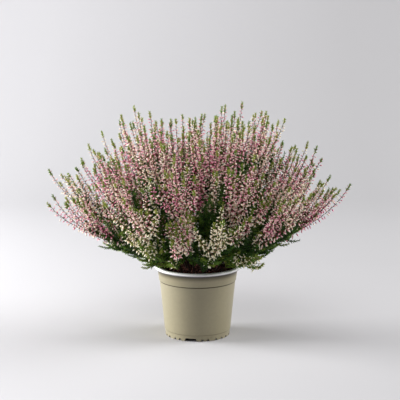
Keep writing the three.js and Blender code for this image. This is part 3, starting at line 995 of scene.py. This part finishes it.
SMALL_NOTCH_PLACES = (21, 31, 47, 60, 73, 89, 99)  # round the pot, from the wide notch of the group
DRAIN_SLOT = dict(inner=27, outer=38, foot=9, top=9, low=3.8, high=7.4)
BLOCK_SIDES = [(3, 2, 1, 0), (4, 5, 6, 7), (1, 5, 4, 0), (2, 6, 5, 1), (3, 7, 6, 2), (0, 4, 7, 3)]
BLOCK_CORNERS = 8


def link_mesh(name, verts, faces):
    mesh = bpy.data.meshes.new(name)
    mesh.from_pydata((np.array(verts) * MM).tolist(), [], faces)
    return add_object(name, mesh)


def ring(radius, z, count):
    """Corners of a level ring round the Z axis."""
    turns = [2 * math.pi * k / count for k in range(count)]
    return [(radius * math.cos(a), radius * math.sin(a), z) for a in turns]


def wrap(rows, count, rising):
    """Faces over a first corner, rows of ring corners and a last corner, from below if rising."""
    last = 1 + rows * count
    faces = []
    for j in range(count):
        k = (j + 1) % count
        faces.append((0, 1 + k, 1 + j))
        for i in range(rows - 1):
            a, b = 1 + i * count, 1 + (i + 1) * count
            faces.append((a + j, a + k, b + k, b + j))
        faces.append((last, last - count + j, last - count + k))
    return faces if rising else [(face[0], *reversed(face[1:])) for face in faces]


def cutter(angle_deg, inner, outer, foot, top, low, high):
    """Corners of a block across the wall, foot wide at its low end and top wide at its high end."""
    corners = []
    for radius in (inner, outer):
        for across, z in ((-foot / 2, low), (foot / 2, low), (top / 2, high), (-top / 2, high)):
            corners.append(around(angle_deg, radius, z) + across * around(angle_deg + 90, 1, 0))
    return corners


def notch_tool():
    """The blocks that cut the notches in the foot ring and the slots in the floor."""
    corners = []
    for group in range(NOTCH_GROUPS):
        angle = FIRST_NOTCH_DEG + 360 / NOTCH_GROUPS * group
        corners += cutter(angle, **DRAIN_SLOT) + cutter(angle, **WIDE_NOTCH)
        for place in SMALL_NOTCH_PLACES:
            corners += cutter(angle + place, **SMALL_NOTCH)
    starts = range(0, len(corners), BLOCK_CORNERS)
    faces = [tuple(start + k for k in side) for start in starts for side in BLOCK_SIDES]
    return link_mesh("notch_tool", corners, faces)


def build_pot():
    verts = [(0, 0, POT_PROFILE[0][1])]
    for radius, z in POT_PROFILE[1:-1]:
        verts += ring(radius, z, POT_SEGMENTS)
    verts.append((0, 0, POT_PROFILE[-1][1]))
    pot = link_mesh("pot_shell", verts, wrap(len(POT_PROFILE) - 2, POT_SEGMENTS, rising=True))

    tool = notch_tool()
    cut = pot.modifiers.new("notches", "BOOLEAN")
    cut.object = tool
    cut.operation = "DIFFERENCE"
    cut.solver = "EXACT"
    made = bpy.data.meshes.new_from_object(pot.evaluated_get(bpy.context.evaluated_depsgraph_get()))
    pot.modifiers.clear()
    pot.data = made
    made.name = "pot_shell"
    bpy.data.objects.remove(tool)
    smooth(made)
    made.set_sharp_from_angle(angle=math.radians(SHARP_ANGLE))
    made.materials.clear()
    for material in (pot_material(), lip_material(), underside_shade_material()):
        made.materials.append(material)
    for face in made.polygons:
        out = math.hypot(*face.center[:2]) / MM
        z = face.center[2] / MM
        if z > LIP_FOOT_Z - ROUNDING and out > LIP_INNER_RADIUS:
            face.material_index = 1
        # faces under the floor and on the notches' edges get the painted shade
        elif z < FLOOR_Z + ROUNDING and out < UNDERSIDE_RADIUS:
            face.material_index = 2
    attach(pot, "root")
    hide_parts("pot")


# ---- peat ----

PEAT_RINGS = 40
PEAT_TURNS = 130
PEAT_EDGE = [(53.6, 88.5), (52.4, 79), (51.4, 78.2), (44.6, 6.8)]  # the pot's inner wall, less a gap
PEAT_RIM = 3  # how far from its edge the peat bends down to it
PEAT_MOUND = 3
MOUND_POWER = 4  # keeps its top flat
SWELL_SIZE = 14
SWELL_LAYER = 3.1
GRAIN_SIZE = 3.2
GRAIN_LAYER = 7.7
GRAIN_HEIGHT = 0.9
GRAIN_FRACTAL = (0.6, 2.1, 4)  # how fast it fades, how much finer each octave is, and the octaves
CRUMBS = 1100
CRUMB_SEED = 77
CRUMB_MARGIN = 2.5  # to the peat's edge
CRUMB_SIZES = (0.7, 1.9)
CRUMB_POWER = 1.4  # makes the large ones fewer
CRUMB_LENGTH = 1.5  # of the size
CRUMB_WIDTH = 0.8
CRUMB_SINK = 0.4
CRUMB_LEAN = 0.5


def peat_height(x, y):
    swell = noise.noise(Vector((x / SWELL_SIZE, y / SWELL_SIZE, SWELL_LAYER)))
    place = Vector((x / GRAIN_SIZE, y / GRAIN_SIZE, GRAIN_LAYER))
    grain = noise.fractal(place, *GRAIN_FRACTAL)
    mound = PEAT_MOUND * (1 - min(math.hypot(x, y) / PEAT_EDGE[0][0], 1) ** MOUND_POWER)
    return SOIL_TOP_Z + mound + swell + GRAIN_HEIGHT * grain


def build_peat():
    edge, edge_z = PEAT_EDGE[0]
    verts = [(0, 0, peat_height(0, 0))]
    for i in range(1, PEAT_RINGS + 1):
        radius = edge * i / PEAT_RINGS
        blend = (edge - radius) / PEAT_RIM
        for x, y, _ in ring(radius, 0, PEAT_TURNS):
            z = peat_height(x, y)
            if blend < 1:
                z = edge_z + (z - edge_z) * blend
            verts.append((x, y, z))
    for radius, z in PEAT_EDGE[1:]:
        verts += ring(radius, z, PEAT_TURNS)
    verts.append((0, 0, PEAT_EDGE[-1][1]))
    faces = wrap(PEAT_RINGS + len(PEAT_EDGE) - 1, PEAT_TURNS, rising=False)
    peat = link_mesh("peat_body", verts, faces)
    smooth(peat.data)
    peat.data.materials.append(peat_material())
    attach(peat, "root")
    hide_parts("soil")


def build_crumbs():
    rng = np.random.default_rng(CRUMB_SEED)
    radius = (PEAT_EDGE[0][0] - CRUMB_MARGIN) * np.sqrt(rng.uniform(0, 1, CRUMBS))
    turn = rng.uniform(0, 2 * math.pi, CRUMBS)
    x, y = radius * np.cos(turn), radius * np.sin(turn)
    size = rng.uniform(*CRUMB_SIZES, CRUMBS) ** CRUMB_POWER
    feet = np.array([(a, b, peat_height(a, b) - CRUMB_SINK * c) for a, b, c in zip(x, y, size)])
    ways = rng.normal(0, CRUMB_LEAN, (CRUMBS, 3)) + [0, 0, 1]
    tones = rng.uniform(0, 1, CRUMBS)
    rolls = rng.uniform(*ANY_TURN, CRUMBS)
    crumbs = Batch()
    crumbs.copies(CRUMB, feet, ways, size * CRUMB_LENGTH, size * CRUMB_WIDTH, tones, rolls)
    crumbs.build("peat_crumbs", crumb_material(), "soil")


build_pot()
build_peat()
build_crumbs()

# ---- stage and lights, in metres ----

STAGE_HALF_WIDTH = 6.0
STAGE_FRONT = -3.5
STAGE_BEND = 1.0  # where its floor starts to curl up
STAGE_RADIUS = 1.2
STAGE_CURL = math.radians(52)
STAGE_STEPS = 12
SHADE_HALF_WIDTH = 0.4  # to each side of the plant, where its left tone turns into its right one
SHADE_DEPTH = (0.45, 1.0)  # behind the plant, where its near tones turn into its far ones
# painted light and shade on the stage: its tones near and far on the left and on the right
LEFT_NEAR, LEFT_FAR = (221, 220, 223), (219, 218, 221)
RIGHT_NEAR, RIGHT_FAR = (189, 188, 190), (199, 198, 200)
LIGHTS = [  # name, place, aim, size and power in watts
    ("key_light", (-1.9, 0.3, 0.46), (0, 0, 0.14), (1.2, 0.7), 84),
    ("fill_light", (1.8, 0.3, 0.85), (0, 0, 0.15), (1.2, 0.9), 41),
    ("top_light", (-0.3, -0.95, 2.1), (0, 0, 0.1), (2.0, 1.6), 27),
    ("front_light", (-0.7, -2.2, 1.5), (0, 0, 0.15), (1.4, 1.2), 3),
]
WORLD_STRENGTH = 0.03


def stage_material():
    """Grey paper with painted light and shade: paler on the left than on the right, and changing from
    near to far.
    """
    paint = Paint("stage_paper", roughness=0.9, specular=0.1)
    x, y, _ = paint.axes(paint.object_place())
    across = paint.nodes.new("ShaderNodeMapRange")
    paint.link(x, across.inputs["Value"])
    across.inputs["From Min"].default_value = -SHADE_HALF_WIDTH
    across.inputs["From Max"].default_value = SHADE_HALF_WIDTH
    near, far = SHADE_DEPTH
    depth = paint.ramp(y, [(near, BLACK), (far, WHITE)])
    left = paint.mixed(depth, linear(LEFT_NEAR), linear(LEFT_FAR))
    right = paint.mixed(depth, linear(RIGHT_NEAR), linear(RIGHT_FAR))
    return paint.coloured(paint.mixed(across.outputs[0], left, right))


def stage_sheet():
    """A floor that curls up behind the plant, as far as the camera sees it."""
    profile = [(STAGE_FRONT, 0.0), (STAGE_BEND, 0.0)]
    for k in range(1, STAGE_STEPS + 1):
        a = k / STAGE_STEPS * STAGE_CURL
        rise = STAGE_RADIUS - STAGE_RADIUS * math.cos(a)
        profile.append((STAGE_BEND + STAGE_RADIUS * math.sin(a), rise))
    verts = [(x, y, z) for x in (-STAGE_HALF_WIDTH, STAGE_HALF_WIDTH) for y, z in profile]
    n = len(profile)
    mesh = bpy.data.meshes.new("stage")
    mesh.from_pydata(verts, [], [(i, n + i, n + i + 1, i + 1) for i in range(n - 1)])
    smooth(mesh)
    mesh.materials.append(stage_material())
    sheet = add_object("stage", mesh)


def area_light(name, place, aim, size, power):
    light = bpy.data.lights.new(name, "AREA")
    light.shape = "RECTANGLE"
    light.size, light.size_y = size
    light.energy = power
    lamp = add_object(name, light)
    lamp.location = place
    lamp.rotation_mode = "QUATERNION"
    lamp.rotation_quaternion = (Vector(aim) - Vector(place)).to_track_quat("-Z", "Y")


stage_sheet()
for settings in LIGHTS:
    area_light(*settings)
world = bpy.data.worlds.new("studio")
world.use_nodes = True
world.node_tree.nodes["Background"].inputs["Color"].default_value = (1, 1, 1, 1)
world.node_tree.nodes["Background"].inputs["Strength"].default_value = WORLD_STRENGTH
bpy.context.scene.world = world
bpy.context.scene.view_settings.view_transform = "Standard"
